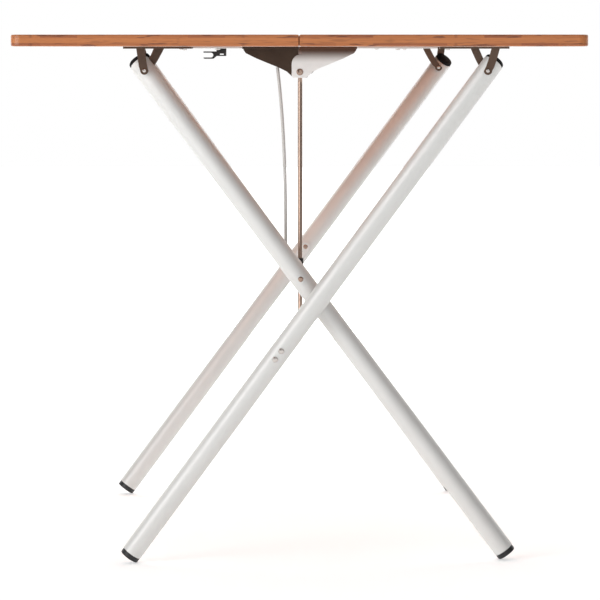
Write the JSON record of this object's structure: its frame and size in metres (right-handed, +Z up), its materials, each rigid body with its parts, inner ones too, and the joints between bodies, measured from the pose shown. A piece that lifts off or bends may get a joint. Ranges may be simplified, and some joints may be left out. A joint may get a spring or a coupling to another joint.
{
  "type": "folding camp table",
  "caption": "Folding camp table: a two-piece bamboo top hinged in the middle on four crossed aluminium tube legs that scissor together as the halves fold down.",
  "frame": {"origin": "middle of the object's footprint on the ground", "axes": "+Z up, +Y along the fold line away from the front, +X across the width to the right"},
  "size_m": [0.735, 0.83, 0.686],
  "materials": {
    "bamboo": "laminated bamboo, clear satin lacquer",
    "anodised_tube": "satin anodised",
    "bracket_steel": "plain strip steel, satin",
    "hinge_steel": "zinc plated, satin",
    "bright_steel": "plated, bright",
    "wire_steel": "drawn wire, satin",
    "black_plastic": "moulded, matte"
  },
  "bodies": {
    "spine": {"hinge_pin_near": "bright_steel", "hinge_pin_far": "bright_steel", "stay_rod": "wire_steel", "stay_clamp": "black_plastic", "lock_wire": "wire_steel"},
    "left_half": {"top_left": "bamboo", "hinge_plate_near_left": "bracket_steel", "hinge_plate_far_left": "hinge_steel", "rod_clip": "black_plastic", "leg_bracket_near_left": "bracket_steel", "leg_pin_near_left": "bright_steel", "bracket_screw_near_left": "bright_steel", "rail_near_left": "hinge_steel", "rail_screw_near_left": "bright_steel", "leg_bracket_far_left": "bracket_steel", "leg_pin_far_left": "bright_steel", "bracket_screw_far_left": "bright_steel", "rail_far_left": "hinge_steel", "rail_screw_far_left": "bright_steel"},
    "right_half": {"top_right": "bamboo", "hinge_plate_near_right": "hinge_steel", "hinge_plate_far_right": "bracket_steel", "leg_bracket_near_right": "bracket_steel", "leg_pin_near_right": "bright_steel", "bracket_screw_near_right": "bright_steel", "rail_near_right": "hinge_steel", "rail_screw_near_right": "bright_steel", "leg_bracket_far_right": "bracket_steel", "leg_pin_far_right": "bright_steel", "bracket_screw_far_right": "bright_steel", "rail_far_right": "hinge_steel", "rail_screw_far_right": "bright_steel"},
    "leg_near_left": {"leg_tube_near_left": "anodised_tube", "top_plug_near_left": "black_plastic", "foot_cap_near_left": "black_plastic", "link_strap_near": "bracket_steel", "link_rivet_near": "bright_steel"},
    "leg_near_right": {"leg_tube_near_right": "anodised_tube", "top_plug_near_right": "black_plastic", "foot_cap_near_right": "black_plastic", "hub_plate_near": "bracket_steel", "hub_bolt_near_1": "bright_steel", "hub_bolt_near_2": "bright_steel"},
    "leg_far_left": {"leg_tube_far_left": "anodised_tube", "top_plug_far_left": "black_plastic", "foot_cap_far_left": "black_plastic", "hub_plate_far": "bracket_steel", "hub_bolt_far_1": "bright_steel", "hub_bolt_far_2": "bright_steel"},
    "leg_far_right": {"leg_tube_far_right": "anodised_tube", "top_plug_far_right": "black_plastic", "foot_cap_far_right": "black_plastic", "link_strap_far": "bracket_steel", "link_rivet_far": "bright_steel"}
  },
  "joints": [
    {"name": "fold_left", "type": "hinge", "parent": "spine", "child": "left_half", "pos_m": [0, 0, 0.638], "axis": [0, -1, 0], "range_deg": [0, 86]},
    {"name": "fold_right", "type": "hinge", "parent": "spine", "child": "right_half", "pos_m": [0, 0, 0.638], "axis": [0, 1, 0], "range_deg": [0, 86]},
    {"name": "leg_turn_near_left", "type": "hinge", "parent": "left_half", "child": "leg_near_left", "pos_m": [-0.199, -0.36, 0.64], "axis": [0, 1, 0], "range_deg": [0, 126.6]},
    {"name": "leg_turn_near_right", "type": "hinge", "parent": "right_half", "child": "leg_near_right", "pos_m": [0.24, -0.392, 0.64], "axis": [0, -1, 0], "range_deg": [0, 126.2]},
    {"name": "leg_turn_far_left", "type": "hinge", "parent": "left_half", "child": "leg_far_left", "pos_m": [-0.24, 0.392, 0.64], "axis": [0, 1, 0], "range_deg": [0, 126.2]},
    {"name": "leg_turn_far_right", "type": "hinge", "parent": "right_half", "child": "leg_far_right", "pos_m": [0.199, 0.36, 0.64], "axis": [0, -1, 0], "range_deg": [0, 126.6]}
  ],
  "couplings": [
    {"joint": "fold_right", "follows": "fold_left", "ratio": 1},
    {"joint": "leg_turn_near_left", "follows": "fold_left", "ratio": 1.472},
    {"joint": "leg_turn_near_right", "follows": "fold_left", "ratio": 1.467},
    {"joint": "leg_turn_far_left", "follows": "fold_left", "ratio": 1.467},
    {"joint": "leg_turn_far_right", "follows": "fold_left", "ratio": 1.472}
  ]
}
